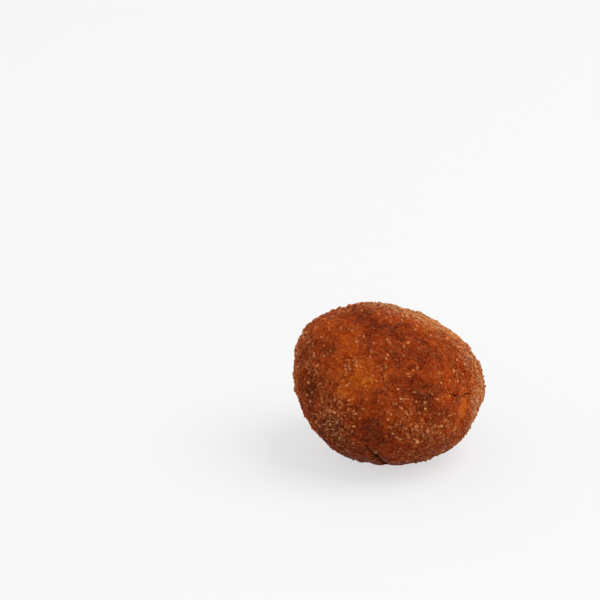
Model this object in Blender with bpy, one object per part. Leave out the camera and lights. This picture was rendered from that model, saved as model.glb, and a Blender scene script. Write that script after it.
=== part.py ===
"""A fried meatball in a coat of fine bread crumbs, made as one solid.

The meatball was rolled by hand and fried, so it is neither round nor even: it is wider than it
is high, leans a little, and has lumps, a flattened end, a crease where the roll was closed, and
bare spots where the coat is thin. Its coarsest crumbs are fused onto the crust.

Metres, +Z up. The origin is on the resting spot's plane, below the middle of the box.
"""

import math
import random
from collections import namedtuple

import bmesh
import bpy
from mathutils import Matrix, Vector, noise

MM = 0.001

# Driving dimensions of the meatball before its lumps are added
LONG_HALF = 19.35 * MM
DEEP_HALF = 18.95 * MM
SHORT_HALF = 15.95 * MM
LEAN = math.radians(19.0)

# Resting spot: the lowest part is flat, as soft food is where it sat, with no coarse crumb near it
FLAT_DEPTH = 0.75 * MM
FLAT_CLEARANCE = 1.2 * MM
FLAT_CUT_REACH = 0.0001 * MM

# A broad swelling, or a dent where the height is negative. Turn is counted from +X towards +Y
# and rise upwards, both in degrees, and spread is how far from its middle it fades.
Swelling = namedtuple("Swelling", "name turn rise height spread")
SWELLINGS = [
    Swelling("right nose", 2, 4, 1.60 * MM, 30),
    Swelling("upper right slope", 39, 57, -0.85 * MM, 26),
    Swelling("shoulder at upper left", 165, 32, 0.85 * MM, 26),
    Swelling("lower left belly", -147, -53, 1.05 * MM, 30),
    Swelling("lower right cheek", -28, -49, -0.20 * MM, 30),
    Swelling("flat at the right end", -26, 6, -0.75 * MM, 13),
    Swelling("rib beside the flat", -41, 10, 0.35 * MM, 9),
    Swelling("front bulge", -112, 12, 0.45 * MM, 24),
    Swelling("hollow above the front", -70, 42, -0.45 * MM, 17),
    Swelling("bare dent at the front", -77, 13, -0.30 * MM, 11),
    Swelling("bare dent low in front", -100, -4, -0.35 * MM, 12),
    Swelling("bare dent near the top", -125, 66, -0.30 * MM, 12),
    Swelling("thumb dent at the back", 98, 14, -0.85 * MM, 17),
    Swelling("back shoulder", 62, 34, 0.55 * MM, 20),
    Swelling("back belly", 128, -28, 0.50 * MM, 22),
    Swelling("dent behind the right end", 38, -22, -0.40 * MM, 14),
    Swelling("flat above the nose", 6, 15, -0.30 * MM, 12),
    Swelling("straight upper right side", 20, 40, -0.15 * MM, 12),
    Swelling("corner of the shoulder", 163, 36, 0.20 * MM, 12),
    Swelling("straight left side", 175, 11, -0.40 * MM, 11),
    Swelling("corner at lower right", -18, -37, 0.65 * MM, 12),
    Swelling("straight lower right side", -7, -16, -0.45 * MM, 12),
]

# A crease closes the roll low in front, and a pit is left where a bubble burst at the back
Crease = namedtuple("Crease", "name start end depth half_width")
CREASES = [
    Crease("closing crease", (-101, -31), (-91.5, -57), 0.90 * MM, 0.80 * MM),
    Crease("burst bubble", (117, 41), (127, 44), 0.90 * MM, 1.10 * MM),
]
CREASE_BARE = 0.1 * MM

# Uneven crust: wavelength and height of each size of lump
Lump = namedtuple("Lump", "wavelength height")
LUMPS = [
    Lump(11.0 * MM, 0.34 * MM),
    Lump(4.6 * MM, 0.22 * MM),
    Lump(2.5 * MM, 0.26 * MM),
    Lump(1.2 * MM, 0.44 * MM),
]

# Geodesic net of the crust: an icosahedron's edges are cut into this many lengths, with half as
# long ones near a crease
NET_FREQUENCY = 16
CREASE_REFINED = 2.2 * MM
NORMAL_STEP = 0.04
SHARP_ANGLE = math.radians(50)

# Coarse crumbs fused to the crust: their size across, and the shares of it that shape each grain
CRUMB_COUNT = 140
CRUMB_LARGEST = 1.3 * MM
CRUMB_SMALLEST = 0.8 * MM
CRUMB_FLATNESS = 0.66
CRUMB_NARROWNESS = 0.82
CRUMB_DENTED = 0.82
CRUMB_SWOLLEN = 1.12
CRUMB_RAISED = 0.03
CRUMB_GAP = 2.0 * MM
CRUMB_TRIES = 14
CRUMB_SEED = 20

CRUST_COLOUR = (0.235, 0.055, 0.017, 1.0)
CRUST_ROUGHNESS = 0.72


def direction(turn, rise):
    """Unit vector that points the given degrees round and up."""
    turn = math.radians(turn)
    rise = math.radians(rise)
    return Vector((math.cos(rise) * math.cos(turn), math.cos(rise) * math.sin(turn), math.sin(rise)))


def ellipsoid_radius(towards):
    """Distance from the middle to the leaning ellipsoid's surface."""
    along = towards.x * math.cos(LEAN) - towards.z * math.sin(LEAN)
    up = towards.x * math.sin(LEAN) + towards.z * math.cos(LEAN)
    share = (along / LONG_HALF) ** 2 + (towards.y / DEEP_HALF) ** 2 + (up / SHORT_HALF) ** 2
    return 1 / math.sqrt(share)


def swelling_height(towards):
    """Sum of the broad swellings and dents in one direction."""
    total = 0.0
    for swelling in SWELLINGS:
        angle = math.degrees(towards.angle(direction(swelling.turn, swelling.rise)))
        total += swelling.height * math.exp(-((angle / swelling.spread) ** 2))
    return total


def distance_to_crease(point, crease):
    """How far a surface point lies from the line of a crease."""
    start = direction(*crease.start) * point.length
    end = direction(*crease.end) * point.length
    run = end - start
    share = (point - start).dot(run) / run.length_squared
    share = max(0.0, min(1.0, share))
    nearest = start + run * share
    return (point - nearest.normalized() * point.length).length


def crease_depth(point):
    """How deep the creases are at a surface point."""
    total = 0.0
    for crease in CREASES:
        distance = distance_to_crease(point, crease)
        total += crease.depth * math.exp(-((distance / crease.half_width) ** 2))
    return total


def lump_height(point):
    """Uneven crust, from broad lumps to crags."""
    total = 0.0
    for lump in LUMPS:
        total += lump.height * noise.noise(point / lump.wavelength)
    return total


def crust_point(towards):
    """The crust's surface point in one direction from the middle."""
    towards = towards.normalized()
    smooth = towards * (ellipsoid_radius(towards) + swelling_height(towards))
    return smooth + towards * (lump_height(smooth) - crease_depth(smooth))


def crust_normal(towards):
    """The crust's outward normal in one direction, from points close to each side of it."""
    side = towards.orthogonal().normalized() * NORMAL_STEP
    over = towards.cross(side)
    first = crust_point(towards + side) - crust_point(towards - side)
    second = crust_point(towards + over) - crust_point(towards - over)
    return first.cross(second).normalized()


def new_object(name, mesh, collection):
    """Object of a finished mesh, linked to a collection."""
    thing = bpy.data.objects.new(name, mesh)
    collection.objects.link(thing)
    return thing


def crust_material():
    """Fried crumb crust: deep red brown and nearly dull."""
    material = bpy.data.materials.new("crumb_crust")
    material.use_nodes = True
    shader = material.node_tree.nodes["Principled BSDF"]
    shader.inputs["Base Color"].default_value = CRUST_COLOUR
    shader.inputs["Roughness"].default_value = CRUST_ROUGHNESS
    shader.inputs["Metallic"].default_value = 0.0
    return material


def refine_creases(net):
    """Cuts the net's edges finer along the creases."""
    near = []
    for edge in net.edges:
        middle = (edge.verts[0].co + edge.verts[1].co) / 2
        surface = middle.normalized() * ellipsoid_radius(middle.normalized())
        if min(distance_to_crease(surface, crease) for crease in CREASES) < CREASE_REFINED:
            near.append(edge)
    bmesh.ops.subdivide_edges(net, edges=near, cuts=1)
    bmesh.ops.triangulate(net, faces=net.faces[:])


def make_crust():
    """Closed mesh of the crust with its middle at the origin, and the height of its flat spot."""
    net = bmesh.new()
    bmesh.ops.create_icosphere(net, subdivisions=1, radius=1.0)
    bmesh.ops.subdivide_edges(net, edges=net.edges[:], cuts=NET_FREQUENCY - 1, use_grid_fill=True)
    refine_creases(net)
    for vert in net.verts:
        vert.co = crust_point(vert.co)
    flat = min(vert.co.z for vert in net.verts) + FLAT_DEPTH
    cut = bmesh.ops.bisect_plane(
        net, geom=net.verts[:] + net.edges[:] + net.faces[:], plane_co=(0, 0, flat),
        plane_no=(0, 0, -1), clear_outer=True, dist=FLAT_CUT_REACH)
    rim = [item for item in cut["geom_cut"] if isinstance(item, bmesh.types.BMEdge)]
    bmesh.ops.contextual_create(net, geom=rim)
    bmesh.ops.triangulate(net, faces=net.faces[:])
    bmesh.ops.recalc_face_normals(net, faces=net.faces[:])
    mesh = bpy.data.meshes.new("crust")
    net.to_mesh(mesh)
    net.free()
    return mesh, flat


def nearest_gap(point, chosen):
    """Distance from a point to the nearest crumb already placed."""
    return min(((point - other).length for other, _ in chosen), default=1.0)


def crumb_places(flat, draw):
    """Places of the coarse crumbs: each is the loneliest of a few tries, so they spread evenly."""
    chosen = []
    while len(chosen) < CRUMB_COUNT:
        tries = []
        for _ in range(CRUMB_TRIES):
            towards = Vector((draw.gauss(0, 1), draw.gauss(0, 1), draw.gauss(0, 1))).normalized()
            point = crust_point(towards)
            if point.z > flat + FLAT_CLEARANCE and crease_depth(point) < CREASE_BARE:
                tries.append((nearest_gap(point, chosen), point, towards))
        gap, point, towards = max(tries, key=lambda item: item[0])
        if gap > CRUMB_GAP:
            chosen.append((point, towards))
    return chosen


def make_crumb(point, towards, number, draw, collection):
    """One coarse crumb, the first the largest: a rough, flattish grain set into the crust."""
    share = number / (CRUMB_COUNT - 1)
    size = CRUMB_LARGEST + (CRUMB_SMALLEST - CRUMB_LARGEST) * share
    grain = bmesh.new()
    bmesh.ops.create_icosphere(grain, subdivisions=1, radius=0.5 * size)
    for vert in grain.verts:
        vert.co *= draw.uniform(CRUMB_DENTED, CRUMB_SWOLLEN)
        vert.co.y *= CRUMB_NARROWNESS
        vert.co.z *= CRUMB_FLATNESS
    normal = crust_normal(towards)
    spin = Matrix.Rotation(draw.uniform(0, math.tau), 4, "Z")
    stand = normal.to_track_quat("Z", "Y").to_matrix().to_4x4()
    place = Matrix.Translation(point + normal * CRUMB_RAISED * size)
    bmesh.ops.transform(grain, matrix=place @ stand @ spin, verts=grain.verts[:])
    mesh = bpy.data.meshes.new(f"crumb_{number}")
    grain.to_mesh(mesh)
    grain.free()
    return new_object(mesh.name, mesh, collection)


def fuse(body, collection):
    """Joins the collection's objects to the body by one union, and removes them."""
    union = body.modifiers.new("fuse crumbs", "BOOLEAN")
    union.operation = "UNION"
    union.operand_type = "COLLECTION"
    union.collection = collection
    union.solver = "EXACT"
    evaluated = body.evaluated_get(bpy.context.evaluated_depsgraph_get())
    fused = bpy.data.meshes.new_from_object(evaluated)
    body.modifiers.clear()
    body.data = fused
    for crumb in collection.objects[:]:
        bpy.data.objects.remove(crumb)
    bpy.data.collections.remove(collection)


def keep_largest_shell(mesh_data):
    """Drops loose scraps and closed pockets, so that one shell is left."""
    left = set(mesh_data.verts)
    shells = []
    while left:
        shell = set()
        front = [left.pop()]
        while front:
            vert = front.pop()
            shell.add(vert)
            for edge in vert.link_edges:
                other = edge.other_vert(vert)
                if other in left:
                    left.discard(other)
                    front.append(other)
        shells.append(shell)
    shells.sort(key=len)
    scraps = [vert for shell in shells[:-1] for vert in shell]
    bmesh.ops.delete(mesh_data, geom=scraps, context="VERTS")


def settle(body, flat):
    """Triangulates the fused mesh and puts the flat spot at z = 0, below the middle of the box."""
    solid = bmesh.new()
    solid.from_mesh(body.data)
    keep_largest_shell(solid)
    bmesh.ops.triangulate(solid, faces=solid.faces[:])
    low_x = min(vert.co.x for vert in solid.verts)
    high_x = max(vert.co.x for vert in solid.verts)
    low_y = min(vert.co.y for vert in solid.verts)
    high_y = max(vert.co.y for vert in solid.verts)
    shift = Vector((-(low_x + high_x) / 2, -(low_y + high_y) / 2, -flat))
    bmesh.ops.translate(solid, vec=shift, verts=solid.verts[:])
    for face in solid.faces:
        face.smooth = True
    solid.to_mesh(body.data)
    solid.free()
    body.data.set_sharp_from_angle(angle=SHARP_ANGLE)
    return shift


def make_meatball():
    """Builds the whole meatball as the scene's one object."""
    for old in bpy.data.objects[:]:
        bpy.data.objects.remove(old)
    scene_collection = bpy.context.scene.collection
    draw = random.Random(CRUMB_SEED)
    crust, flat = make_crust()
    body = new_object("meatball", crust, scene_collection)
    crumbs = bpy.data.collections.new("coarse_crumbs")
    scene_collection.children.link(crumbs)
    for number, (point, towards) in enumerate(crumb_places(flat, draw)):
        make_crumb(point, towards, number, draw, crumbs)
    fuse(body, crumbs)
    shift = settle(body, flat)
    body.data.materials.clear()
    body.data.materials.append(crust_material())
    size = [round(side / MM, 2) for side in body.dimensions]
    moved = [round(side / MM, 3) for side in shift]
    print("meatball:", len(body.data.polygons), "triangles, size in mm", size, "moved by", moved)
    return body


make_meatball()
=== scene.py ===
# %% [markdown]
# A fried meatball, dressed for the camera. The measured solid gives the true size, the leaning
# egg shape, the dents and the coarsest crumbs. What it can't hold is the coat itself: thousands
# of bread crumbs, a third of a millimetre to a millimetre across, stuck to a brown glaze of fried
# egg and fat. This script loads the solid, wraps a fine crust round it, and scatters the crumbs.

# %% Load the measured solid
import math
import random
from collections import namedtuple
from functools import partial

import bmesh
import bpy
import numpy as np
from mathutils import Matrix, Vector, noise
from mathutils.bvhtree import BVHTree


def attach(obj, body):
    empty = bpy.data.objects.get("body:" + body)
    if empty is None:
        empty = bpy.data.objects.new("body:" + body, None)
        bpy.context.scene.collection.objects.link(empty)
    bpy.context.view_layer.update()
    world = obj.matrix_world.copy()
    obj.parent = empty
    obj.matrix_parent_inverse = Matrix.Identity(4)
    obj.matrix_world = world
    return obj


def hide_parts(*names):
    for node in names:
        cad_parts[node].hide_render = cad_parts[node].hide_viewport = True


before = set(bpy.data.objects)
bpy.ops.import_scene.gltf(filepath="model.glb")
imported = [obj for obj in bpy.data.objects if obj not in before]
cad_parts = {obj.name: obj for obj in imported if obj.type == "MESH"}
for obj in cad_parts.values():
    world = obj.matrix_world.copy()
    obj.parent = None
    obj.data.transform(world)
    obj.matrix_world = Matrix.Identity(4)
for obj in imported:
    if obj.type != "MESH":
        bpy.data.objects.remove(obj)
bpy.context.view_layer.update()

MM = 0.001
SOLID = "meatball"
BODY = "root"

# %% [markdown]
# Materials and Geometry Nodes are both trees of nodes, so one small function serves them all. It
# adds a node, sets its properties, and fills its inputs: a value is typed in, and an output of
# another node is linked, or its first output where the node itself is given. Colours are written
# as the sRGB hex values a paint chart would give, and turned to the linear numbers that Blender
# reckons with.

# %% Helpers for nodes and colours
def fill(tree, node, inputs):
    """Fills or links the inputs of a node, which are named or numbered."""
    for socket, value in inputs.items():
        if isinstance(value, bpy.types.Node):
            value = value.outputs[0]
        if isinstance(value, bpy.types.NodeSocket):
            tree.links.new(value, node.inputs[socket])
        else:
            node.inputs[socket].default_value = value


def add_node(tree, kind, inputs=None, **settings):
    """Adds a node with its settings and inputs."""
    node = tree.nodes.new(kind)
    for name, value in settings.items():
        setattr(node, name, value)
    fill(tree, node, inputs or {})
    return node


def linear(code):
    """Linear colour with full alpha from an sRGB hex code."""
    parts = [int(code[place:place + 2], 16) / 255 for place in (1, 3, 5)]
    bright = [part / 12.92 if part <= 0.04045 else ((part + 0.055) / 1.055) ** 2.4 for part in parts]
    return (*bright, 1.0)


def new_material(name):
    """New material, with its tree and its shader."""
    material = bpy.data.materials.new(name)
    material.use_nodes = True
    return material, material.node_tree, material.node_tree.nodes["Principled BSDF"]


def new_object(name, mesh):
    """Object of a mesh, at the origin, in the scene."""
    thing = bpy.data.objects.new(name, mesh)
    bpy.context.scene.collection.objects.link(thing)
    return thing


# %% Helpers for Geometry Nodes trees
def new_tree(name, sockets):
    """Geometry Nodes tree with named inputs; returns the tree, its input node and output node."""
    tree = bpy.data.node_groups.new(name, "GeometryNodeTree")
    tree.interface.new_socket("Geometry", in_out="INPUT", socket_type="NodeSocketGeometry")
    for label, kind in sockets.items():
        tree.interface.new_socket(label, in_out="INPUT", socket_type="NodeSocket" + kind)
    tree.interface.new_socket("Geometry", in_out="OUTPUT", socket_type="NodeSocketGeometry")
    return tree, tree.nodes.new("NodeGroupInput"), tree.nodes.new("NodeGroupOutput")


def triangles_of(mesh):
    """How many triangles the faces of a mesh come to."""
    return sum(len(face.vertices) - 2 for face in mesh.polygons)


def grow(name, tree, start, values):
    """Runs a tree on a start mesh and returns the result as a plain mesh."""
    holder = new_object(name, start)
    modifier = holder.modifiers.new(name, "NODES")
    modifier.node_group = tree
    for item in tree.interface.items_tree:
        if item.in_out == "INPUT" and item.name in values:
            modifier[item.identifier] = values[item.name]
    evaluated = holder.evaluated_get(bpy.context.evaluated_depsgraph_get())
    mesh = bpy.data.meshes.new_from_object(evaluated)
    bpy.data.objects.remove(holder)
    mesh.name = name
    print(name, "has", triangles_of(mesh), "triangles")
    return mesh


# %% [markdown]
# The crust starts as a fine net pulled tight round the solid. The net is a cube whose faces are
# cut into squares and blown up to a ball, because its squares stay nearly even, with no poles. Each
# point is dropped along a ray towards the middle of the roll until it hits the solid. A few passes
# of smoothing then melt the solid's facets, while its dents, crags and coarse crumbs remain.

# %% Wrap a fine net round the solid
MIDDLE = Vector((-0.51, 0.03, 16.07)) * MM
NET_ROWS = 120
NET_REACH = 40 * MM
MELT_PASSES = 3
WELD = 0.002 * MM


def merged_solid():
    """Closed copy of the solid, whose own triangles are loose."""
    net = bmesh.new()
    net.from_mesh(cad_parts[SOLID].data)
    bmesh.ops.remove_doubles(net, verts=net.verts[:], dist=WELD)
    mesh = bpy.data.meshes.new("solid_copy")
    net.to_mesh(mesh)
    net.free()
    return new_object("solid_copy", mesh)


def wrapping_tree():
    """Tree that wraps a fine closed net round an object."""
    tree, given, result = new_tree("wrap_net", {
        "Solid": "Object", "Middle": "Vector", "Rows": "Int", "Reach": "Float", "Passes": "Int"})
    add = partial(add_node, tree)
    corners = add("ShaderNodeMath", {0: given.outputs["Rows"], 1: 1}, operation="ADD")
    cube = add("GeometryNodeMeshCube", {
        "Size": (2, 2, 2), "Vertices X": corners, "Vertices Y": corners, "Vertices Z": corners})
    place = add("GeometryNodeInputPosition")
    angle = add("ShaderNodeVectorMath", {0: place, "Scale": math.pi / 4}, operation="SCALE")
    even = add("ShaderNodeVectorMath", {0: angle}, operation="TANGENT")
    towards = add("ShaderNodeVectorMath", {0: even}, operation="NORMALIZE")
    outside = add("ShaderNodeVectorMath", {0: towards, "Scale": given.outputs["Reach"]}, operation="SCALE")
    source = add("ShaderNodeVectorMath", {0: outside, 1: given.outputs["Middle"]}, operation="ADD")
    inwards = add("ShaderNodeVectorMath", {0: towards, "Scale": -1}, operation="SCALE")
    solid = add("GeometryNodeObjectInfo", {"Object": given.outputs["Solid"]}, transform_space="RELATIVE")
    ray = add("GeometryNodeRaycast", {
        "Target Geometry": solid.outputs["Geometry"], "Source Position": source,
        "Ray Direction": inwards, "Ray Length": given.outputs["Reach"]})
    wrapped = add("GeometryNodeSetPosition", {"Geometry": cube, "Position": ray.outputs["Hit Position"]})
    blurred = add("GeometryNodeBlurAttribute", {
        "Value": place, "Iterations": given.outputs["Passes"]}, data_type="FLOAT_VECTOR")
    melted = add("GeometryNodeSetPosition", {"Geometry": wrapped, "Position": blurred})
    smooth = add("GeometryNodeSetShadeSmooth", {"Geometry": melted})
    fill(tree, result, {0: smooth})
    return tree


solid_copy = merged_solid()
net_mesh = grow("net", wrapping_tree(), bpy.data.meshes.new("nothing"), {
    "Solid": solid_copy, "Middle": MIDDLE, "Rows": NET_ROWS, "Reach": NET_REACH, "Passes": MELT_PASSES})
bpy.data.objects.remove(solid_copy)

# %% [markdown]
# No fried coat is even. Where the ball was pressed, the crumbs are gone and the glaze shows smooth
# and dark. Elsewhere the coat is thick and golden, or crumbs lie in drifts with dark gaps between
# them, or they stayed dry and pale. Such places are listed by where they lie, as turn and rise in
# degrees seen from the middle of the roll, and how far they spread. The back, which no photograph
# shows, echoes the places of the front in another layout, so that it is as uneven.

# %% List the bare, golden and dry places
Patch = namedtuple("Patch", "name turn rise spread bare gold dry crumbs")
FRONT = [Patch(*row) for row in (
    ("glaze near the top", -149, 69, 8, 1.6, -1.3, 0.0, -0.5),
    ("glaze below the top", -104, 65, 9, 1.0, -1.0, 0.0, -0.5),
    ("its right end", -79, 60, 8, 0.7, -0.45, 0.0, -0.3),
    ("streak that runs down from it", -111, 52, 6, 0.9, -0.7, 0.0, -0.3),
    ("glaze at upper right", -55, 58, 7, 0.8, -0.5, 0.0, -0.2),
    ("glaze at upper front", -55, 38, 10, 0.9, -0.75, 0.0, -0.5),
    ("dusky front", -82, 42, 10, 0.3, -0.45, 0.1, -0.1),
    ("thin crumbs in front", -69, 34, 9, 0.3, 0.1, 0.0, -0.5),
    ("glaze in mid front", -75, 21, 9, 1.0, -0.6, 0.0, -0.5),
    ("dark gaps beside it", -66, 11, 7, 0.3, -0.65, 0.0, 0.0),
    ("glaze left of it", -100, 15, 7, 0.8, -0.3, 0.0, -0.2),
    ("glaze low in front", -102, -3, 9, 1.2, -0.75, 0.0, -0.6),
    ("glaze above the crease", -103, -13, 8, 1.0, -0.4, 0.0, -0.3),
    ("glaze right of the crease", -89, -17, 9, 0.6, -0.4, 0.0, 0.0),
    ("dark gaps at lower left", -127, -24, 12, -0.2, -1.1, 0.0, 0.4),
    ("dusky left end", -150, 9, 9, 0.0, -0.95, 0.0, 0.0),
    ("dusky spot at upper left", -147, 36, 7, 0.0, -0.6, 0.0, 0.0),
    # The three places below darken the glaze and thin the crumbs beside the crease's fold as painted shade.
    ("dark side of the crease", -114, -45, 12, 0.9, -1.1, 0.0, -0.5),
    ("dark lip of the crease", -99, -52, 10, 1.3, -1.4, 0.0, -0.8),
    ("dark ground above the lip", -107, -36, 9, 0.8, -0.7, 0.0, -0.5),
    # The lower edge is darker, partly real browning and partly painted shade.
    ("dusky lower edge", -86, -57, 12, 0.3, -0.8, 0.0, -0.3),
    ("gold at upper left", -129, 43, 11, 0.1, 0.4, 0.0, -0.3),
    ("gold left of the middle", -111, 28, 11, 0.0, 0.65, 0.0, 0.0),
    ("gold below it", -112, 18, 10, 0.0, 0.6, 0.0, 0.1),
    ("gold at the left shoulder", -166, 47, 10, 0.0, 0.6, 0.0, 0.0),
    ("thin crumbs at upper left", -157, 44, 12, 0.2, 0.0, 0.0, -0.5),
    ("rust at the upper left rim", 170, 62, 12, 0.0, -0.5, 0.0, 0.0),
    ("rust at the left rim", -164, 22, 9, 0.0, -0.5, 0.0, 0.0),
    ("orange band at the right", -40, 15, 8, 0.6, 0.0, 0.0, 0.0),
    ("orange band below it", -32, 1, 8, 1.2, 1.0, 0.0, -0.2),
    ("lower end of the band", -45, -6, 8, 0.6, 0.5, 0.0, 0.0),
    ("rust in mid front", -86, 10, 7, 0.3, 0.4, 0.0, 0.0),
    ("warm drift of crumbs", -77, -11, 9, -0.2, 0.3, 0.1, 0.8),
    ("dry crown", 96, 76, 18, -0.4, -0.4, 0.60, 0.2),
    # These two lay pale dust on the lit upper right: partly real dry crumbs, partly a painted sheen.
    ("dry upper right", 32, 58, 21, -0.4, 0.8, 0.80, 0.2),
    ("dry right shoulder", 20, 44, 22, -0.4, 0.5, 0.55, 0.2),
    ("dry right side", 13, 28, 15, -0.3, 0.0, 0.35, 0.2),
    ("dry spot above the right end", -11, 25, 8, -0.3, 0.0, 0.5, 0.2),
    ("dry right end", -6, 3, 13, -0.8, 0.3, 0.65, 0.9),
    ("dry fringe below it", -17, -8, 11, -0.4, 0.2, 0.6, 0.4),
    ("pale edge low at the right", -16, -24, 13, 0.0, 0.3, 0.55, 0.1),
    ("pale edge at lower right", -40, -42, 13, 0.0, 0.1, 0.55, 0.1),
    ("dry far side", 55, 30, 50, 0.0, 0.1, 0.25, 0.1),
    ("pale wisps at the left", -165, 32, 7, -0.2, 0.0, 0.2, 0.3),
    ("drift of crumbs at the left", -147, 21, 9, -0.3, 0.1, 0.1, 0.6),
    ("drift of crumbs at lower left", -126, -6, 10, -0.4, -0.7, 0.2, 0.6),
    ("drift of crumbs below it", -136, -18, 11, -0.3, -1.1, 0.1, 0.3),
    ("drift of crumbs below the gold", -117, 5, 8, -0.4, 0.0, 0.1, 0.6),
    ("drift of crumbs low in front", -80, 2, 9, -0.5, -0.25, 0.05, 0.7),
    ("drift of crumbs left of the middle", -131, 5, 10, -0.3, -0.1, 0.15, 0.8),
    ("crumbs at lower right", -60, -14, 13, -0.2, 0.15, 0.3, 0.5),
)]
# The underside is darker and barer, partly the browning of the pan and partly painted shade.
UNDERSIDE = Patch("dusky underside", 0, -90, 58, 0.4, -1.6, 0.0, -0.3)
BACK_SEED = 5
BACK_NUDGES = (12, 8)
BACK_SPREAD = 1.2
BACK_DRYNESS = 0.6
ECHOED_BELOW = 50


def echo(patch, lot):
    """The like of a front patch on the back, nudged out of its place by a seeded draw."""
    turn_nudge, rise_nudge = [lot.uniform(-most, most) for most in BACK_NUDGES]
    return patch._replace(
        name="echo of " + patch.name, turn=patch.turn + 180 + turn_nudge,
        rise=8 - 0.9 * patch.rise + rise_nudge, spread=BACK_SPREAD * patch.spread,
        dry=BACK_DRYNESS * patch.dry)


back_lot = random.Random(BACK_SEED)
BACK = [echo(patch, back_lot) for patch in FRONT if abs(patch.rise) < ECHOED_BELOW and patch.turn < 0]
PATCHES = [*FRONT, *BACK, UNDERSIDE]
print(len(PATCHES), "patches of the coat")

# %% [markdown]
# The closing crease, a short crack and three pits are cut into the front, and a burst bubble and
# one more crack into the back. Their lines are given in the same degrees, and rays lay them on the
# surface. A real crack is ragged, with low lips where the crust swelled, so its line is shaken with
# noise, and its lips stand a little proud.

# %% List the cracks and pits
Crack = namedtuple("Crack", "name line depth half_width")
CRACKS = [Crack(*row) for row in (
    ("top of the closing crease", [(-105.3, -22.8), (-104.6, -25.6), (-102.5, -29.6)], 0.45 * MM, 0.30 * MM),
    ("closing crease", [(-100.5, -33), (-99, -35), (-96.9, -43.2), (-93.2, -50.6), (-91.8, -56)],
     0.85 * MM, 0.40 * MM),
    ("mouth of the crease", [(-95.0, -47), (-93.0, -54), (-91.0, -62)], 0.75 * MM, 0.50 * MM),
    ("short crack at the right end", [(-33.0, 4.6), (-29.0, 4.2), (-25.0, 2.8)], 0.45 * MM, 0.18 * MM),
    ("deep end of it", [(-33.4, 5.6), (-32.6, 3.6)], 0.60 * MM, 0.28 * MM),
    ("pit beside it", [(-45.4, 10.8), (-44.6, 9.2), (-43.2, 7.8)], 0.42 * MM, 0.18 * MM),
    ("pit above it", [(-37.6, 19.4), (-36.8, 18.2)], 0.55 * MM, 0.28 * MM),
    ("pit at the fringe", [(-18.2, 6.3), (-17.8, 5.8)], 0.35 * MM, 0.2 * MM),
    ("burst bubble", [(117, 40), (120, 43), (125, 43), (128, 40), (126, 37)], 0.55 * MM, 0.34 * MM),
    ("crack behind", [(60, 12), (63, 10.5), (65, 7), (66, 2)], 0.45 * MM, 0.20 * MM),
)]


def direction(turn, rise):
    """Unit vector that points the given degrees round from +X and up."""
    turn = math.radians(turn)
    rise = math.radians(rise)
    return Vector((math.cos(rise) * math.cos(turn), math.cos(rise) * math.sin(turn), math.sin(rise)))


def points_of(mesh):
    """Places of a mesh's points as rows of numbers."""
    places = np.empty(3 * len(mesh.vertices), np.float32)
    mesh.vertices.foreach_get("co", places)
    return places.reshape(-1, 3)


def surface_of(mesh):
    """Surface of a mesh, for rays to hit."""
    faces = [tuple(face.vertices) for face in mesh.polygons]
    return BVHTree.FromPolygons([tuple(place) for place in points_of(mesh)], faces)


def distance_to_line(places, line):
    """Distance from each place to a line of straight pieces."""
    nearest = np.full(len(places), np.inf)
    for start, end in zip(line, line[1:]):
        run = end - start
        share = np.clip((places - start) @ run / (run @ run), 0, 1)
        gap = np.linalg.norm(places - start - share[:, None] * run, axis=1)
        nearest = np.minimum(nearest, gap)
    return nearest


def crack_lines(mesh):
    """Each crack's line laid on the surface."""
    surface = surface_of(mesh)
    return [[np.array(surface.ray_cast(MIDDLE, direction(*spot))[0]) for spot in crack.line]
            for crack in CRACKS]


print(len(CRACKS), "cracks and pits, the deepest", max(crack.depth for crack in CRACKS) / MM, "mm")

# %% Cut the net finer round the cracks
FINE_REACH = 0.9 * MM
FINE_CUTS = 2


def refine_near(mesh, lines):
    """Cuts the net finer round the cracks, whose walls are thinner than its squares."""
    net = bmesh.new()
    net.from_mesh(mesh)
    places = points_of(mesh)
    near = np.min([distance_to_line(places, line) for line in lines], axis=0) < FINE_REACH
    edges = [edge for edge in net.edges if near[edge.verts[0].index] and near[edge.verts[1].index]]
    bmesh.ops.subdivide_edges(net, edges=edges, cuts=FINE_CUTS, use_grid_fill=True)
    bmesh.ops.triangulate(net, faces=[face for face in net.faces if len(face.verts) > 4])
    net.to_mesh(mesh)
    net.free()


crack_paths = crack_lines(net_mesh)
refine_near(net_mesh, crack_paths)
print("net has", triangles_of(net_mesh), "triangles after refining")

# %% Mark each point of the net
MARKS = {"bare": "patch_bare", "gold": "patch_gold", "dry": "dry", "crumbs": "patch_crumbs"}
CRACK_WOBBLE = 0.7
CRACK_WOBBLE_PITCH = 0.8 * MM
CRACK_SEARCH = 5
CRACK_MARGIN = 0.2 * MM
LIP_HEIGHT = 0.06
LIP_PLACE = 2.0
LIP_WIDTH = 0.8

# Blender sets off its vector noise by the clock, unless it is seeded.
NOISE_SEED = 6
noise.seed_set(NOISE_SEED)


def crack_profile(mesh, lines):
    """How deep each point lies in a crack with ragged walls and low lips, and which are beside one."""
    places = points_of(mesh)
    depth = np.zeros(len(places))
    beside = np.zeros(len(places))
    for crack, line in zip(CRACKS, lines):
        near = np.flatnonzero(distance_to_line(places, line) < CRACK_SEARCH * crack.half_width)
        shifts = np.array([noise.noise_vector(Vector(spot) / CRACK_WOBBLE_PITCH) for spot in places[near]])
        gap = distance_to_line(places[near] + CRACK_WOBBLE * crack.half_width * shifts, line)
        share = gap / crack.half_width
        lip = LIP_HEIGHT * np.exp(-(((share - LIP_PLACE) / LIP_WIDTH) ** 2))
        groove = np.exp(-(share**2)) - lip
        deeper = np.abs(groove * crack.depth) > np.abs(depth[near])
        depth[near[deeper]] = (groove * crack.depth)[deeper]
        beside[near] = np.maximum(beside[near], gap < crack.half_width + CRACK_MARGIN)
    return depth, beside


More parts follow.
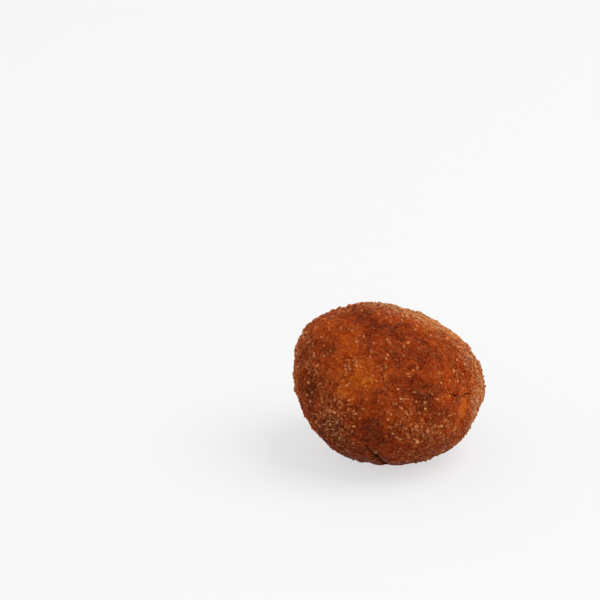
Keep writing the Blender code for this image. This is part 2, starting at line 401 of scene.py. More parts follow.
def patch_marks(mesh):
    """How bare, golden, dry and crumbly the patches make each point."""
    towards = points_of(mesh) - np.array(MIDDLE)
    towards /= np.linalg.norm(towards, axis=1)[:, None]
    marks = dict.fromkeys(MARKS.values(), 0.0)
    for patch in PATCHES:
        aim = np.array(direction(patch.turn, patch.rise))
        angle = np.degrees(np.arccos(np.clip(towards @ aim, -1, 1)))
        share = np.exp(-((angle / patch.spread) ** 2))
        for field, name in MARKS.items():
            marks[name] = marks[name] + getattr(patch, field) * share
    return marks


marks = patch_marks(net_mesh)
marks["crack_depth"], marks["beside_crack"] = crack_profile(net_mesh, crack_paths)
for name, values in marks.items():
    mark = net_mesh.attributes.new(name, "FLOAT", "POINT")
    mark.data.foreach_set("value", values.astype(np.float32))
print("cracks reach", round(marks["crack_depth"].max() / MM, 2), "mm;",
      round(100 * (marks["patch_bare"] > 0.5).mean()), "% is bare glaze")

# %% [markdown]
# Now the coat gets its relief. Crumbs that sank into the batter show as rounded cobbles, which a
# Voronoi pattern gives in two sizes, about 1 mm and 0.6 mm wide. Bare glaze has hardly any, only
# faint waves. Noise makes the edges of the bare, golden and crumbly places ragged, and the cracks
# are cut in. Nothing may sink into the plate, so the lowest points stop at zero. The tree also
# keeps where each point lay before it rose, so that the colours can follow the same cobbles.

# %% How bare, golden and crumbly the coat is
TONE_PITCH = 5.0 * MM
DRIFT_PITCH = 3.6 * MM


def coat_marks(tree, place, ragged_scale):
    """How bare, golden and crumbly a place is, from its patches and from noise."""
    add = partial(add_node, tree)
    found = {}
    for name, scale, detail, roughness, gain, start, end, easing in (
            ("bare", ragged_scale, 4.0, 0.62, 2.6, 1.45, 2.3, "SMOOTHSTEP"),
            ("gold", 1 / TONE_PITCH, 3.0, 0.6, 2.0, -0.2, 2.2, "LINEAR"),
            ("crumbs", 1 / DRIFT_PITCH, 3.0, 0.6, 2.4, 0.9, 1.9, "SMOOTHSTEP")):
        clouds = add("ShaderNodeTexNoise", {
            "Vector": place, "Scale": scale, "Detail": detail, "Roughness": roughness})
        patches = add("GeometryNodeInputNamedAttribute", {"Name": MARKS[name]})
        both = add("ShaderNodeMath", {0: clouds, 1: gain, 2: patches}, operation="MULTIPLY_ADD")
        found[name] = add("ShaderNodeMapRange", {
            "Value": both, "From Min": start, "From Max": end}, interpolation_type=easing)
    return found


def keep_above_plate(tree, geometry):
    """Lifts the points that sank into the plate back to its top."""
    add = partial(add_node, tree)
    parts = add("ShaderNodeSeparateXYZ", {0: add("GeometryNodeInputPosition")})
    above = add("ShaderNodeMath", {0: parts.outputs["Z"], 1: 0.0}, operation="MAXIMUM")
    level = add("ShaderNodeCombineXYZ", {0: parts.outputs["X"], 1: parts.outputs["Y"], 2: above})
    return add("GeometryNodeSetPosition", {"Geometry": geometry, "Position": level})


# %% Raise the bed of sunken crumbs
COARSE_COBBLE = 1.0 * MM
FINE_COBBLE = 0.60 * MM


def relief_tree():
    """Tree that raises the crumb bed, cuts the cracks, and keeps how bare and golden each point is."""
    tree, given, result = new_tree("crumb_bed", {
        "Coarse cobble": "Float", "Fine cobble": "Float", "Cobble height": "Float", "Wave": "Float",
        "Wave height": "Float", "Ragged edge": "Float", "Material": "Material"})
    add = partial(add_node, tree)
    place = add("GeometryNodeInputPosition")
    flat = add("GeometryNodeStoreNamedAttribute", {
        "Geometry": given, "Name": "flat_place", "Value": place}, data_type="FLOAT_VECTOR")
    scales = {label: add("ShaderNodeMath", {0: 1.0, 1: given.outputs[label]}, operation="DIVIDE")
              for label in ("Coarse cobble", "Fine cobble", "Ragged edge", "Wave")}
    domes = []
    for label, height in (("Coarse cobble", 1.0), ("Fine cobble", 0.55)):
        cells = add("ShaderNodeTexVoronoi", {
            "Vector": place, "Scale": scales[label], "Smoothness": 0.2}, feature="SMOOTH_F1")
        domes.append(add("ShaderNodeMapRange", {
            "Value": cells, "From Min": 0.75, "From Max": 0.1, "To Max": height}))
    cobbles = add("ShaderNodeMath", {0: domes[0], 1: domes[1]}, operation="ADD")

    found = coat_marks(tree, place, scales["Ragged edge"])
    crumbed = add("ShaderNodeMapRange", {"Value": found["bare"], "To Min": 1.0, "To Max": 0.15})
    thick = add("ShaderNodeMath", {0: found["crumbs"], 1: crumbed}, operation="MULTIPLY")
    heaped = add("ShaderNodeMapRange", {"Value": thick, "To Min": 0.6, "To Max": 1.3})
    covered = add("ShaderNodeMath", {0: heaped, 1: crumbed}, operation="MULTIPLY")
    bed = add("ShaderNodeMath", {0: cobbles, 1: covered}, operation="MULTIPLY")
    bed_height = add("ShaderNodeMath", {0: bed, 1: given.outputs["Cobble height"]}, operation="MULTIPLY")
    wave = add("ShaderNodeTexNoise", {"Vector": place, "Scale": scales["Wave"], "Detail": 2.0})
    wave_height = add("ShaderNodeMath", {
        0: wave, 1: given.outputs["Wave height"], 2: bed_height}, operation="MULTIPLY_ADD")
    crack = add("GeometryNodeInputNamedAttribute", {"Name": "crack_depth"})
    height = add("ShaderNodeMath", {0: wave_height, 1: crack}, operation="SUBTRACT")
    outwards = add("GeometryNodeInputNormal")
    offset = add("ShaderNodeVectorMath", {0: outwards, "Scale": height}, operation="SCALE")
    raised = add("GeometryNodeSetPosition", {"Geometry": flat, "Offset": offset})
    kept = keep_above_plate(tree, raised)
    for name, value in (("bare", found["bare"]), ("gold", found["gold"]), ("thick", thick)):
        kept = add("GeometryNodeStoreNamedAttribute", {"Geometry": kept, "Name": name, "Value": value})
    whole = add("GeometryNodeRealizeInstances", {"Geometry": kept})
    dressed = add("GeometryNodeSetMaterial", {"Geometry": whole, "Material": given.outputs["Material"]})
    fill(tree, result, {0: dressed})
    return tree


# %% [markdown]
# The glaze is egg, flour and frying fat, browned like caramel: mahogany where it lay thick and
# dark, rust over most of the ball, and amber where it stayed thin. Noise a millimetre or two wide
# carries it from one to the next. Crumbs soaked in it take its colour too, so the same recipe of
# shades serves both.

# %% Shades of the browned glaze
GLAZE_SHADES = [(0.0, "#4E1607"), (0.25, "#6C2107"), (0.5, "#8A300A"), (0.75, "#A0420D"), (1.0, "#B25C10")]
MOTTLE = 1.9 * MM


def glaze_shade(tree, place, gold):
    """Colour of the glaze at a place, from mahogany to amber as the gold value grows."""
    add = partial(add_node, tree)
    mottle = add("ShaderNodeTexNoise", {
        "Vector": place, "Scale": 1 / MOTTLE, "Detail": 4.0, "Roughness": 0.6})
    wander = add("ShaderNodeMath", {0: mottle, 1: 1.3, 2: gold}, operation="MULTIPLY_ADD")
    share = add("ShaderNodeMapRange", {"Value": wander, "From Min": 0.55, "From Max": 1.75})
    glaze = add("ShaderNodeValToRGB", {"Fac": share})
    steps = glaze.color_ramp.elements
    steps[0].color = linear(GLAZE_SHADES[0][1])
    steps[1].color = linear(GLAZE_SHADES[-1][1])
    for position, code in GLAZE_SHADES[1:-1]:
        steps.new(position).color = linear(code)
    return glaze


# %% [markdown]
# Where the coat stayed dry, the finest crumbs lie on it as a pale dust. Dust is grains too, about a
# quarter of a millimetre wide, so a Voronoi pattern decides grain by grain whether one lies there.

# %% Dust of the finest crumbs
DUST_GRAIN = 0.28 * MM
DUST_DRIFT = 1.8 * MM
DUST_CONTRAST = 3.2


def dust_over(tree, colour, place, dry, fullest):
    """Covers a colour with pale grains of dust, more of them where the coat is dry."""
    add = partial(add_node, tree)
    drift = add("ShaderNodeTexNoise", {
        "Vector": place, "Scale": 1 / DUST_DRIFT, "Detail": 4.0, "Roughness": 0.75})
    patchy = add("ShaderNodeMath", {
        0: drift, 1: DUST_CONTRAST, 2: (1 - DUST_CONTRAST) / 2}, operation="MULTIPLY_ADD")
    fallen = add("ShaderNodeMath", {0: patchy, 1: dry}, operation="MULTIPLY")
    thickness = add("ShaderNodeMapRange", {"Value": fallen, "From Min": 0.05, "From Max": 0.7})
    grains = add("ShaderNodeTexVoronoi", {"Vector": place, "Scale": 1 / DUST_GRAIN})
    lot = add("ShaderNodeSeparateColor", {0: grains.outputs["Color"]})
    chance = add("ShaderNodeMath", {
        0: lot.outputs["Red"], 1: -0.7, 2: thickness}, operation="MULTIPLY_ADD")
    there = add("ShaderNodeMapRange", {"Value": chance, "From Min": -0.1, "From Max": 0.4})
    round_grain = add("ShaderNodeMapRange", {
        "Value": grains, "From Min": 0.75, "From Max": 0.3, "To Min": 0.45, "To Max": fullest})
    share = add("ShaderNodeMath", {0: there, 1: round_grain}, operation="MULTIPLY")
    pale = add("ShaderNodeMix", {
        "Factor": lot.outputs["Green"], 6: linear("#A67E54"), 7: linear("#C49A6E")}, data_type="RGBA")
    dusted = add("ShaderNodeMix", {"Factor": share, 6: colour, 7: pale.outputs[2]}, data_type="RGBA")
    return dusted.outputs[2]


# %% [markdown]
# On the crust, each cobble is a crumb under a skin of glaze. About half of them shine through as
# dots, peach-coloured over most of the ball and amber in its golden places. A few are pits where a
# crumb fell out, each given a dark spot of painted shade, and the seams between the cobbles are
# darkened with painted shade, less so in the gold. Flour shows between them as grains 0.3 mm wide,
# coarser than real flour, so that they show at all. Bare glaze is satin, the crumbed crust is dull.
# Fat lets light in a little way, and fine fluff of crumbs at the surface gives a soft glow at the rim.

# %% Glaze of the crust
CELL_TONE = 0.35
FLOUR_GRAIN = 0.30 * MM
PORE = 0.35 * MM
DOT_START = (0.35, 0.45)
DOT_STRENGTH = (0.6, 0.45)
FAT_SOAKED = {
    "Subsurface Weight": 0.35, "Subsurface Radius": (1.0, 0.45, 0.2), "Subsurface Scale": 0.35 * MM,
    "Sheen Weight": 0.2, "Sheen Roughness": 0.2, "Sheen Tint": linear("#FFEAD2")}


def crust_material():
    """Fried egg and flour glaze: caramel browned, satin where bare, with crumbs sunk into it."""
    material, tree, shader = new_material("fried_egg_glaze")
    add = partial(add_node, tree)
    place = add("ShaderNodeAttribute", attribute_name="flat_place").outputs["Vector"]
    gold, bare, crack, thick, dry = [
        add("ShaderNodeAttribute", attribute_name=name).outputs["Fac"]
        for name in ("gold", "bare", "crack_depth", "thick", "dry")]
    cobbles = [add("ShaderNodeTexVoronoi", {"Vector": place, "Scale": 1 / pitch})
               for pitch in (COARSE_COBBLE, FINE_COBBLE)]
    lots = [add("ShaderNodeSeparateColor", {0: cells.outputs["Color"]}) for cells in cobbles]
    own_tone = add("ShaderNodeMath", {
        0: lots[1].outputs["Blue"], 1: CELL_TONE, 2: gold}, operation="MULTIPLY_ADD")
    centred_tone = add("ShaderNodeMath", {0: own_tone, 1: CELL_TONE / 2}, operation="SUBTRACT")
    colour = glaze_shade(tree, place, centred_tone)
    crumbed = add("ShaderNodeMapRange", {"Value": thick, "To Min": 0.2, "To Max": 1.1})
    amber = add("ShaderNodeMapRange", {"Value": gold, "From Min": 0.5, "From Max": 0.85})
    less = add("ShaderNodeMapRange", {"Value": amber, "To Min": 1.0, "To Max": 0.4})
    gaps = add("ShaderNodeMath", {0: crumbed, 1: less}, operation="MULTIPLY")
    sunk = add("ShaderNodeMix", {
        "Factor": amber, 6: linear("#C0743E"), 7: linear("#C87832")}, data_type="RGBA")
    flour = add("ShaderNodeTexVoronoi", {"Vector": place, "Scale": 1 / FLOUR_GRAIN})
    flour_lot = add("ShaderNodeSeparateColor", {0: flour.outputs["Color"]})
    flour_share = add("ShaderNodeMapRange", {
        "Value": flour_lot.outputs["Red"], "From Min": 0.6, "From Max": 1.0, "To Max": 0.14})
    colour = add("ShaderNodeMix", {
        "Factor": flour_share, 6: colour, 7: linear("#C67C48")}, data_type="RGBA").outputs[2]
    for cells, lot, start, strength in zip(cobbles, lots, DOT_START, DOT_STRENGTH):
        middle = add("ShaderNodeMapRange", {
            "Value": cells, "From Min": 0.55, "From Max": 0.15}, interpolation_type="SMOOTHSTEP")
        dot = add("ShaderNodeMapRange", {
            "Value": lot.outputs["Red"], "From Min": start, "From Max": 1.0, "To Max": strength})
        # Painted shade: the seams between cobbles and the few pit cells darken towards near-black brown.
        seam_shade = add("ShaderNodeMapRange", {
            "Value": cells, "From Min": 0.45, "From Max": 0.75, "To Max": 0.35})
        pit = add("ShaderNodeMapRange", {
            "Value": lot.outputs["Green"], "From Min": 0.88, "From Max": 0.92, "To Max": 0.5})
        for share, factors, over in (
                (dot, (middle, crumbed), sunk.outputs[2]),
                (seam_shade, (gaps,), linear("#4A1402")),
                (pit, (middle, gaps), linear("#3E1002"))):
            for factor in factors:
                share = add("ShaderNodeMath", {0: share, 1: factor}, operation="MULTIPLY")
            colour = add("ShaderNodeMix", {
                "Factor": share, 6: colour, 7: over}, data_type="RGBA").outputs[2]
    colour = dust_over(tree, colour, place, dry, fullest=0.75)
    # Painted shade: the deeper a point lies in a crack, the nearer its colour comes to near-black brown.
    crack_shade_share = add("ShaderNodeMapRange", {
        "Value": crack, "From Min": 0.05 * MM, "From Max": 0.4 * MM, "To Max": 0.85})
    crack_shaded = add("ShaderNodeMix", {
        "Factor": crack_shade_share, 6: colour, 7: linear("#3C1004")}, data_type="RGBA")
    rough = add("ShaderNodeMapRange", {"Value": bare, "To Min": 0.8, "To Max": 0.62})
    pores = add("ShaderNodeTexNoise", {
        "Vector": place, "Scale": 1 / PORE, "Detail": 4.0, "Roughness": 0.65})
    grit = add("ShaderNodeMath", {0: flour, 1: -0.4, 2: pores}, operation="MULTIPLY_ADD")
    bump = add("ShaderNodeBump", {"Height": grit, "Distance": 0.18 * MM, "Strength": 0.6})
    fill(tree, shader, {
        "Base Color": crack_shaded.outputs[2], "Roughness": rough, "Normal": bump,
        "Specular IOR Level": 0.015, **FAT_SOAKED})
    return material


crust_mesh = grow("crust", relief_tree(), net_mesh, {
    "Coarse cobble": COARSE_COBBLE, "Fine cobble": FINE_COBBLE, "Cobble height": 0.13 * MM,
    "Wave": 1.9 * MM, "Wave height": 0.12 * MM, "Ragged edge": 3.2 * MM, "Material": crust_material()})
crust = new_object("crust", crust_mesh)

# %% [markdown]
# Bread crumbs are dried bread ground fine, so a grain is an angular, flattish chip. One tree strews
# them all: it drops points on the crust, sets a chip of 20 faces on each with its own size, turn
# and tilt, half sunk, makes the chips real, and then bends their corners with noise so that no two
# are alike. Each kind of crumb is one piece. Only the coarse kind has 80 faces. A soaked crumb is
# shaded smooth, as the glaze rounds it off. More crumbs fall where the coat is thick, fewer where
# it is bare, none in a crack, and near the plate most were rubbed off.

# %% Where crumbs fall
CLUMP_PITCH = 1.5 * MM
RUBBED_TO = 1.0 * MM
WHOLE_FROM = 3.5 * MM


def crumb_density(tree, given, place):
    """How many crumbs fall on a square metre of each place."""
    add = partial(add_node, tree)
    clumps = add("ShaderNodeTexNoise", {
        "Vector": place, "Scale": 1 / CLUMP_PITCH, "Detail": 2.0, "Roughness": 0.6})
    height = add("ShaderNodeSeparateXYZ", {0: place}).outputs["Z"]
    marks = {name: add("GeometryNodeInputNamedAttribute", {"Name": name})
             for name in ("bare", "gold", "dry", "thick", "beside_crack")}
    density = add("ShaderNodeMath", {0: given.outputs["Count per mm2"], 1: 1 / MM**2}, operation="MULTIPLY")
    for limits in (
            {"Value": marks["bare"], "To Min": 1.0, "To Max": given.outputs["Bare share"]},
            {"Value": marks["gold"], "To Min": 1.0, "To Max": given.outputs["Gold share"]},
            {"Value": marks["dry"], "To Min": 1.0, "To Max": given.outputs["Dry share"]},
            {"Value": clumps, "From Min": 0.38, "From Max": 0.62, "To Min": given.outputs["Clump"]},
            {"Value": marks["thick"], "To Min": given.outputs["Clump"], "To Max": 1.3},
            {"Value": marks["beside_crack"], "To Min": 1.0, "To Max": 0.0},
            {"Value": height, "From Min": RUBBED_TO, "From Max": WHOLE_FROM, "To Min": 0.1}):
        factor = add("ShaderNodeMapRange", limits)
        density = add("ShaderNodeMath", {0: density, 1: factor}, operation="MULTIPLY")
    return density


# %% Tree that strews crumbs
BEND_FIELD = 0.3 * MM
DRAWS = [
    ("tilt", 11, "FLOAT_VECTOR", (-0.5, -0.5, 0.0), (0.5, 0.5, math.tau)),
    ("size", 23, "FLOAT", 0.0, 1.0),
    ("shape", 37, "FLOAT_VECTOR", (0.85, 0.7, 0.8), (1.2, 1.0, 1.15)),
    ("tone", 51, "FLOAT", 0.0, 1.0),
]


def seeded_draws(tree, seed):
    """Random tilt, size, shape and tone of each crumb, each from its own seed."""
    add = partial(add_node, tree)
    draws = {}
    for name, shift, kind, least, most in DRAWS:
        slot = ("FLOAT_VECTOR", "FLOAT").index(kind)
        own_seed = add("ShaderNodeMath", {0: seed, 1: shift}, operation="ADD")
        draw = add("FunctionNodeRandomValue", {
            2 * slot: least, 2 * slot + 1: most, "Seed": own_seed}, data_type=kind)
        draws[name] = draw.outputs[slot]
    return draws


def strewing_tree():
    """Tree that strews crumbs over a crust."""
    tree, given, result = new_tree("strew_crumbs", {
        "Count per mm2": "Float", "Smallest": "Float", "Largest": "Float", "Flatness": "Float",
        "Raised": "Float", "Sides": "Int", "Bare share": "Float", "Gold share": "Float",
        "Dry share": "Float", "Clump": "Float", "Stretch": "Float", "Bent": "Float", "Rounded": "Bool",
        "Seed": "Int", "Material": "Material"})
    add = partial(add_node, tree)
    place = add("GeometryNodeInputPosition")
    spots = add("GeometryNodeDistributePointsOnFaces", {
        "Mesh": given, "Density": crumb_density(tree, given, place), "Seed": given.outputs["Seed"]})
    chip = add("GeometryNodeMeshIcoSphere", {"Radius": 0.5, "Subdivisions": given.outputs["Sides"]})
    chip_place = add("ShaderNodeSeparateXYZ", {0: place})
    topped = add("GeometryNodeStoreNamedAttribute", {
        "Geometry": chip, "Name": "grain_top", "Value": chip_place.outputs["Z"]})
    draws = seeded_draws(tree, given.outputs["Seed"])
    turned = add("FunctionNodeEulerToRotation", {0: draws["tilt"]})
    lie = add("FunctionNodeRotateRotation", {
        "Rotation": spots.outputs["Rotation"], "Rotate By": turned}, rotation_space="LOCAL")
    small_more = add("ShaderNodeMath", {0: draws["size"], 1: 2.0}, operation="POWER")
    size = add("ShaderNodeMapRange", {
        "Value": small_more, "To Min": given.outputs["Smallest"], "To Max": given.outputs["Largest"]})
    flat = add("ShaderNodeCombineXYZ", {
        0: given.outputs["Stretch"], 1: 1.0, 2: given.outputs["Flatness"]})
    flattened = add("ShaderNodeVectorMath", {0: draws["shape"], 1: flat}, operation="MULTIPLY")
    scale = add("ShaderNodeVectorMath", {0: flattened, "Scale": size}, operation="SCALE")
    rise = add("ShaderNodeMath", {0: size, 1: given.outputs["Raised"]}, operation="MULTIPLY")
    lift = add("ShaderNodeVectorMath", {0: spots.outputs["Normal"], "Scale": rise}, operation="SCALE")
    lifted = add("GeometryNodeSetPosition", {"Geometry": spots, "Offset": lift})
    chips = add("GeometryNodeInstanceOnPoints", {
        "Points": lifted, "Instance": topped, "Rotation": lie, "Scale": scale})
    for name, value in (("grain_tone", draws["tone"]), ("grain_size", size)):
        chips = add("GeometryNodeStoreNamedAttribute", {
            "Geometry": chips, "Name": name, "Value": value}, domain="INSTANCE")
    real = add("GeometryNodeRealizeInstances", {"Geometry": chips})
    field = add("ShaderNodeTexNoise", {"Vector": place, "Scale": 1 / BEND_FIELD, "Detail": 1.0})
    centred = add("ShaderNodeVectorMath", {
        0: field.outputs["Color"], 1: (0.5, 0.5, 0.5)}, operation="SUBTRACT")
    grain_size = add("GeometryNodeInputNamedAttribute", {"Name": "grain_size"})
    reach = add("ShaderNodeMath", {0: grain_size, 1: given.outputs["Bent"]}, operation="MULTIPLY")
    bend = add("ShaderNodeVectorMath", {0: centred, "Scale": reach}, operation="SCALE")
    bent = add("GeometryNodeSetPosition", {"Geometry": real, "Offset": bend})
    smooth = add("GeometryNodeSetShadeSmooth", {
        "Geometry": keep_above_plate(tree, bent), "Shade Smooth": given.outputs["Rounded"]})
    dressed = add("GeometryNodeSetMaterial", {
        "Geometry": smooth, "Material": given.outputs["Material"]})
    fill(tree, result, {0: dressed})
    return tree


# %% [markdown]
# A crumb's colour tells how it fried. Those soaked in egg hardly differ from the glaze, most are a
# little paler than it, and those that stayed dry are peach and straw. So each kind lies somewhere
# between the glaze and a toast shade, and each grain draws its own place on that way. It is darker
# at its foot and lighter at its top, partly because the foot drank glaze and partly as a painted
# highlight. A crumb is dull, because its cut bread is full of pores.

# %% Toasted bread crumbs
BREAD_SPOT = 0.3 * MM
BREAD_PORE = 0.12 * MM


def crumb_material(name, toast, soaked, dry, roughness):
    """Toasted bread crumb: porous and dull, each grain somewhere between the glaze and its toast shade."""
    material, tree, shader = new_material(name)
    add = partial(add_node, tree)
    place = add("ShaderNodeTexCoord").outputs["Object"]
    gold, tone, dry_place, top = [
        add("ShaderNodeAttribute", attribute_name=mark).outputs["Fac"]
        for mark in ("gold", "grain_tone", "dry", "grain_top")]
    spots = add("ShaderNodeTexNoise", {
        "Vector": place, "Scale": 1 / BREAD_SPOT, "Detail": 3.0, "Roughness": 0.6})
    uneven = add("ShaderNodeMath", {0: spots, 1: 0.7, 2: tone}, operation="MULTIPLY_ADD")
    drier = add("ShaderNodeMath", {0: dry_place, 1: 0.5, 2: uneven}, operation="MULTIPLY_ADD")
    share = add("ShaderNodeMapRange", {
        "Value": drier, "From Min": 0.25, "From Max": 1.45, "To Min": soaked, "To Max": dry})
    # Darker at the foot, lighter at the top: partly glaze the foot drank, partly a painted highlight.
    glazed_foot_and_highlight = add("ShaderNodeMapRange", {
        "Value": top, "From Min": -0.12, "From Max": 0.42, "To Min": 0.1, "To Max": 1.0})
    wicked = add("ShaderNodeMath", {0: share, 1: glazed_foot_and_highlight}, operation="MULTIPLY")
    amber = add("ShaderNodeMapRange", {
        "Value": gold, "From Min": 0.5, "From Max": 0.85, "To Max": 0.7})
    bread = add("ShaderNodeMix", {
        "Factor": amber, 6: linear(toast), 7: linear("#C87832")}, data_type="RGBA")
    fried = add("ShaderNodeMix", {
        "Factor": wicked, 6: glaze_shade(tree, place, gold), 7: bread.outputs[2]}, data_type="RGBA")
    pores = add("ShaderNodeTexNoise", {"Vector": place, "Scale": 1 / BREAD_PORE, "Detail": 2.0})
    bump = add("ShaderNodeBump", {"Height": pores, "Distance": 0.04 * MM, "Strength": 0.5})
    fill(tree, shader, {
        "Base Color": dust_over(tree, fried.outputs[2], place, dry_place, fullest=0.55),
        "Roughness": roughness, "Normal": bump, "Specular IOR Level": 0.01, **FAT_SOAKED})
    return material


# %% Strew the crumbs
Kind = namedtuple(
    "Kind", "name toast tones sizes per_mm2 flatness raised bare gold dry clump bent seed stretch"
    " roughness rounded", defaults=(1.0, 0.8, False))
KINDS = [
    Kind("soaked_flakes", "#A8602C", (0.0, 0.35), (0.60, 1.20), per_mm2=1.1, flatness=0.40, raised=-0.08,
         bare=0.15, gold=0.9, dry=0.7, clump=0.6, bent=0.6, seed=3, roughness=0.65, rounded=True),
    Kind("soaked_crumbs", "#B4692F", (0.0, 0.45), (0.52, 1.02), per_mm2=1.6, flatness=0.65, raised=-0.04,
         bare=0.12, gold=1.0, dry=1.0, clump=0.3, bent=0.7, seed=7, roughness=0.65, rounded=True),
    Kind("fine_crumbs", "#B87046", (0.0, 0.32), (0.30, 0.54), per_mm2=2.3, flatness=0.75, raised=0.0,
         bare=0.12, gold=1.1, dry=1.2, clump=0.3, bent=0.8, seed=9),
    Kind("toasted_crumbs", "#C67E4E", (0.10, 0.78), (0.58, 1.12), per_mm2=0.95, flatness=0.65, raised=0.0,
         bare=0.10, gold=1.4, dry=1.5, clump=0.15, bent=0.85, seed=12),
    Kind("pale_crumbs", "#D8986A", (0.4, 0.85), (0.54, 0.98), per_mm2=0.32, flatness=0.70, raised=0.05,
         bare=0.08, gold=1.3, dry=2.5, clump=0.05, bent=0.85, seed=19, roughness=0.85),
    Kind("pale_shreds", "#CC8E58", (0.3, 0.8), (0.28, 0.42), per_mm2=0.09, flatness=0.60, raised=0.0,
         bare=0.10, gold=0.9, dry=3.0, clump=0.3, bent=1.2, seed=23, stretch=2.4, roughness=0.85),
    Kind("coarse_crumbs", "#C88450", (0.15, 0.8), (0.62, 1.05), per_mm2=0.08, flatness=0.55, raised=-0.05,
         bare=0.15, gold=1.4, dry=1.5, clump=0.1, bent=0.9, seed=28),
    Kind("burnt_specks", "#3A1407", (0.5, 1.0), (0.22, 0.45), per_mm2=0.04, flatness=0.80, raised=0.0,
         bare=0.60, gold=0.8, dry=1.0, clump=0.4, bent=0.8, seed=34, roughness=0.75),
]
# A kind whose smallest grain is wider than this, in millimetres, gets chips of 80 faces.
COARSE = 0.61


def strew(kind, tree, ground):
    """One kind of crumb strewn over the crust, as one plain piece."""
    finish = crumb_material(kind.name, kind.toast, *kind.tones, kind.roughness)
    sides = 2 if kind.sizes[0] > COARSE else 1
    mesh = grow(kind.name, tree, ground.copy(), {
        "Count per mm2": kind.per_mm2, "Smallest": kind.sizes[0] * MM, "Largest": kind.sizes[1] * MM,
        "Flatness": kind.flatness, "Stretch": kind.stretch, "Raised": kind.raised, "Sides": sides,
        "Bare share": kind.bare, "Gold share": kind.gold, "Dry share": kind.dry, "Clump": kind.clump,
        "Bent": kind.bent, "Rounded": kind.rounded, "Seed": kind.seed, "Material": finish})
    return new_object(kind.name, mesh)


strewer = strewing_tree()
crumb_pieces = [strew(kind, strewer, crust_mesh) for kind in KINDS]

# %% [markdown]
# A few crumbs stand out by themselves, such as a split flake in mid front, a cluster at the right
# end, and three that stick out over the right edge. A seeded draw can't put them in place, so each
# is listed by turn and rise, with its width, length and slant, and how dry and proud it is.

# %% Place the crumbs that stand out
Crumb = namedtuple("Crumb", "turn rise wide long slant dry proud", defaults=(0.0,))
LONE_CRUMBS = [Crumb(*row) for row in (
    (-82.6, 13.2, 0.45, 1.00, 10, 1.0), (-79.6, 12.6, 0.40, 0.85, -25, 0.9),
    (-35.9, 22.5, 0.95, 1.05, 0, 0.45), (-25.9, 16.9, 0.50, 0.90, 80, 0.75),
    (-9.0, 18.2, 0.60, 0.75, 40, 0.9), (-11.4, 20.2, 0.55, 0.70, -20, 0.8),
    (-8.2, 16.3, 0.45, 0.70, 70, 0.9), (-95.8, 30.4, 0.32, 0.40, 60, 1.0),
    (-91.2, 42.4, 0.50, 0.90, 65, 0.5), (-92.6, 39.6, 0.50, 0.80, 80, 0.6),
    (-79.0, 3.5, 0.50, 1.00, 45, 0.8), (-82.1, 1.0, 0.45, 0.80, 40, 0.9),
    (-67.3, 32.0, 0.75, 0.85, 0, 0.2), (-71.3, 30.6, 0.60, 0.65, 30, 0.2),
    (-67.1, 5.5, 0.60, 0.75, 20, 1.0), (-84.2, 19.5, 0.50, 0.55, 0, 0.8),
    (-67.2, 51.7, 0.75, 0.85, 10, 0.4), (-92.0, 54.1, 0.40, 0.75, 85, 0.7),
    (-137.7, 55.3, 0.50, 0.60, 30, 0.7), (-112.1, -6.0, 0.75, 0.85, 20, 0.5),
    (-43.5, -14.4, 0.70, 0.80, 60, 0.5), (-50.3, 25.2, 0.70, 0.75, 0, 0.5),
    (-56.1, -31.9, 0.50, 0.70, 20, 0.6), (-89.0, 4.1, 0.50, 0.75, 50, 0.7),
    (-90.8, 0.9, 0.50, 0.65, -30, 0.6), (-58.0, 9.9, 0.50, 0.60, 20, 0.7),
    (-119.4, 8.5, 0.55, 0.70, 30, 0.6), (-126.0, 1.6, 0.60, 0.70, -10, 0.6),
    (-165.1, 32.2, 0.40, 1.10, 30, 0.5), (-145.8, 21.9, 0.60, 0.90, 10, 0.6),
    (0.8, 3.6, 0.45, 0.60, 60, 0.8, 0.48), (-1.4, -1.8, 0.42, 0.70, 80, 0.6, 0.42),
    (2.4, 6.8, 0.35, 0.50, 20, 0.7, 0.30),
)]
LONE_FLATNESS = 0.6
LONE_GOLD = 0.6
LONE_BEND = 0.22
BEND_PITCH = 0.35 * MM


def lay_crumb(net, crumb, spot, outwards, layers):
    """Adds one chip to a net, half sunk at a spot, with its long side along its slant."""
    level = Vector((0, 0, 1)).cross(outwards).normalized()
    along = Matrix.Rotation(-math.radians(crumb.slant), 3, outwards) @ level
    axes = Matrix((along, outwards.cross(along), outwards)).transposed()
    sizes = Vector((crumb.long, crumb.wide, LONE_FLATNESS * crumb.wide)) * MM
    made = bmesh.ops.create_icosphere(net, subdivisions=2, radius=0.5)
    middle = spot + outwards * crumb.proud * MM
    for vert in made["verts"]:
        vert[layers["grain_top"]] = vert.co.z
        vert[layers["grain_tone"]] = crumb.dry
        vert[layers["gold"]] = LONE_GOLD
        vert.co = middle + axes @ (vert.co * sizes)
        vert.co += noise.noise_vector(vert.co / BEND_PITCH) * LONE_BEND * crumb.wide * MM


def place_crumbs(ground):
    """The crumbs that stand out, as one piece on the crust."""
    surface = surface_of(ground)
    net = bmesh.new()
    layers = {name: net.verts.layers.float.new(name) for name in ("grain_top", "grain_tone", "gold")}
    for crumb in LONE_CRUMBS:
        outwards = direction(crumb.turn, crumb.rise)
        spot = surface.ray_cast(MIDDLE + outwards * NET_REACH, -outwards)[0]
        lay_crumb(net, crumb, spot, outwards, layers)
    mesh = bpy.data.meshes.new("lone_crumbs")
    net.to_mesh(mesh)
    net.free()
    mesh.materials.append(crumb_material("lone_crumbs", "#DA985E", soaked=0.2, dry=0.95, roughness=0.8))
    print("lone_crumbs has", triangles_of(mesh), "triangles")
    return new_object("lone_crumbs", mesh)


crumb_pieces.append(place_crumbs(crust_mesh))

# %% [markdown]
# Every piece rides on the one body. The crust piece stands in for the plain solid, which stays
# hidden and keeps its part in collision.

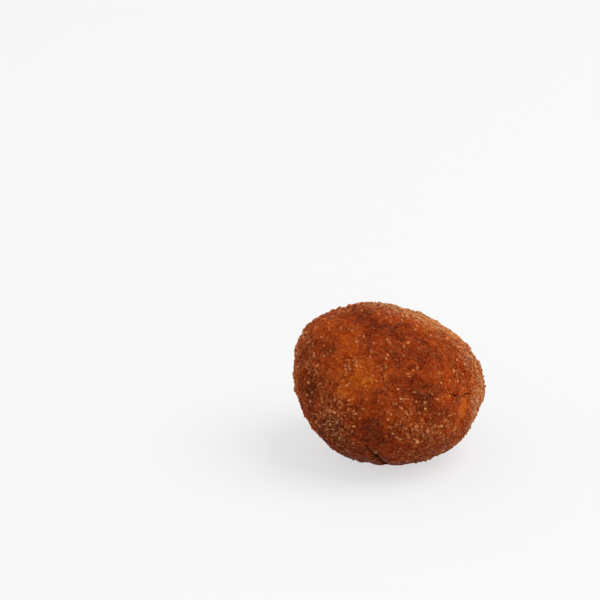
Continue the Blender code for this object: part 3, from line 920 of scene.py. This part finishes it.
# %% Tie the pieces to the body
for piece in [crust, *crumb_pieces]:
    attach(piece, BODY)
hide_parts(SOLID)
print(1 + len(crumb_pieces), "pieces ride on", BODY)

# %% [markdown]
# The photograph looks down about 22 degrees through a long lens, with the ball right of and below
# the middle. The camera is set back along that line. In the picture's plane, the ball's middle
# lies a known number of pixels off, and a pixel there is worth a fixed share of a millimetre.

# %% Camera
LOOK_DOWN = math.radians(22)
CAMERA_DISTANCE = 550 * MM
PIXEL = 0.2094 * MM
PICTURE_SIDE = 600
BALL_PIXEL = (386.4, 382.4)
SENSOR = 36


def make_camera():
    """Camera at the photograph's angle, distance and framing."""
    forward = Vector((0, math.cos(LOOK_DOWN), -math.sin(LOOK_DOWN)))
    right = Vector((1, 0, 0))
    up = right.cross(forward)
    across = (BALL_PIXEL[0] - PICTURE_SIDE / 2) * PIXEL
    below = (BALL_PIXEL[1] - PICTURE_SIDE / 2) * PIXEL
    aim = MIDDLE - right * across + up * below
    data = bpy.data.cameras.new("camera")
    data.sensor_width = SENSOR
    data.lens = SENSOR * CAMERA_DISTANCE / (PICTURE_SIDE * PIXEL)
    data.clip_start = 10 * MM
    data.clip_end = 20
    camera = new_object("camera", data)
    camera.location = aim - forward * CAMERA_DISTANCE
    camera.rotation_mode = "QUATERNION"
    camera.rotation_quaternion = forward.to_track_quat("-Z", "Y")
    bpy.context.scene.camera = camera
    print("lens is", round(data.lens), "mm on a", SENSOR, "mm sensor")


make_camera()

# %% [markdown]
# The ball was shot on plain white under a broad soft light from above and to the right, and its
# shadow on the white is hardly to be seen. So it stands on a light table, a pale sheet that glows
# a little from below, in a white world, and one large area light gives the crust its direction.

# %% Floor and light
FLOOR_HALF = 8.0
FLOOR_DROP = 0.05 * MM
SOFTBOX_SPOT = (0.90, -0.20, 1.40)
SOFTBOX_SIDE = 1.4
SOFTBOX_WATTS = 21.0


def make_floor():
    """Pale floor that runs far past the picture."""
    mesh = bpy.data.meshes.new("floor")
    corners = [(x * FLOOR_HALF, y * FLOOR_HALF, 0) for x, y in ((-1, -1), (1, -1), (1, 1), (-1, 1))]
    mesh.from_pydata(corners, [], [(0, 1, 2, 3)])
    floor = new_object("floor", mesh)
    floor.location.z = -FLOOR_DROP
    material, tree, shader = new_material("light_table_acrylic")
    fill(tree, shader, {
        "Base Color": linear("#898989"), "Roughness": 0.9, "Specular IOR Level": 0.0,
        "Emission Color": (1.0, 1.0, 1.0, 1.0), "Emission Strength": 0.616})
    mesh.materials.append(material)


def make_softbox():
    """Square area light, turned to the ball."""
    data = bpy.data.lights.new("softbox", "AREA")
    data.size = SOFTBOX_SIDE
    data.energy = SOFTBOX_WATTS
    light = new_object("softbox", data)
    light.location = SOFTBOX_SPOT
    light.rotation_mode = "QUATERNION"
    light.rotation_quaternion = (MIDDLE - Vector(SOFTBOX_SPOT)).to_track_quat("-Z", "Y")


def make_world():
    """White room that lights the ball from all round."""
    world = bpy.data.worlds.new("white_room")
    world.use_nodes = True
    background = world.node_tree.nodes["Background"]
    fill(world.node_tree, background, {"Color": linear("#FAFAFA"), "Strength": 0.86})
    bpy.context.scene.world = world


make_floor()
make_softbox()
make_world()
bpy.context.scene.view_settings.view_transform = "Standard"
print("floor is", 2 * FLOOR_HALF, "m wide, softbox", SOFTBOX_SIDE, "m at", SOFTBOX_WATTS, "W")
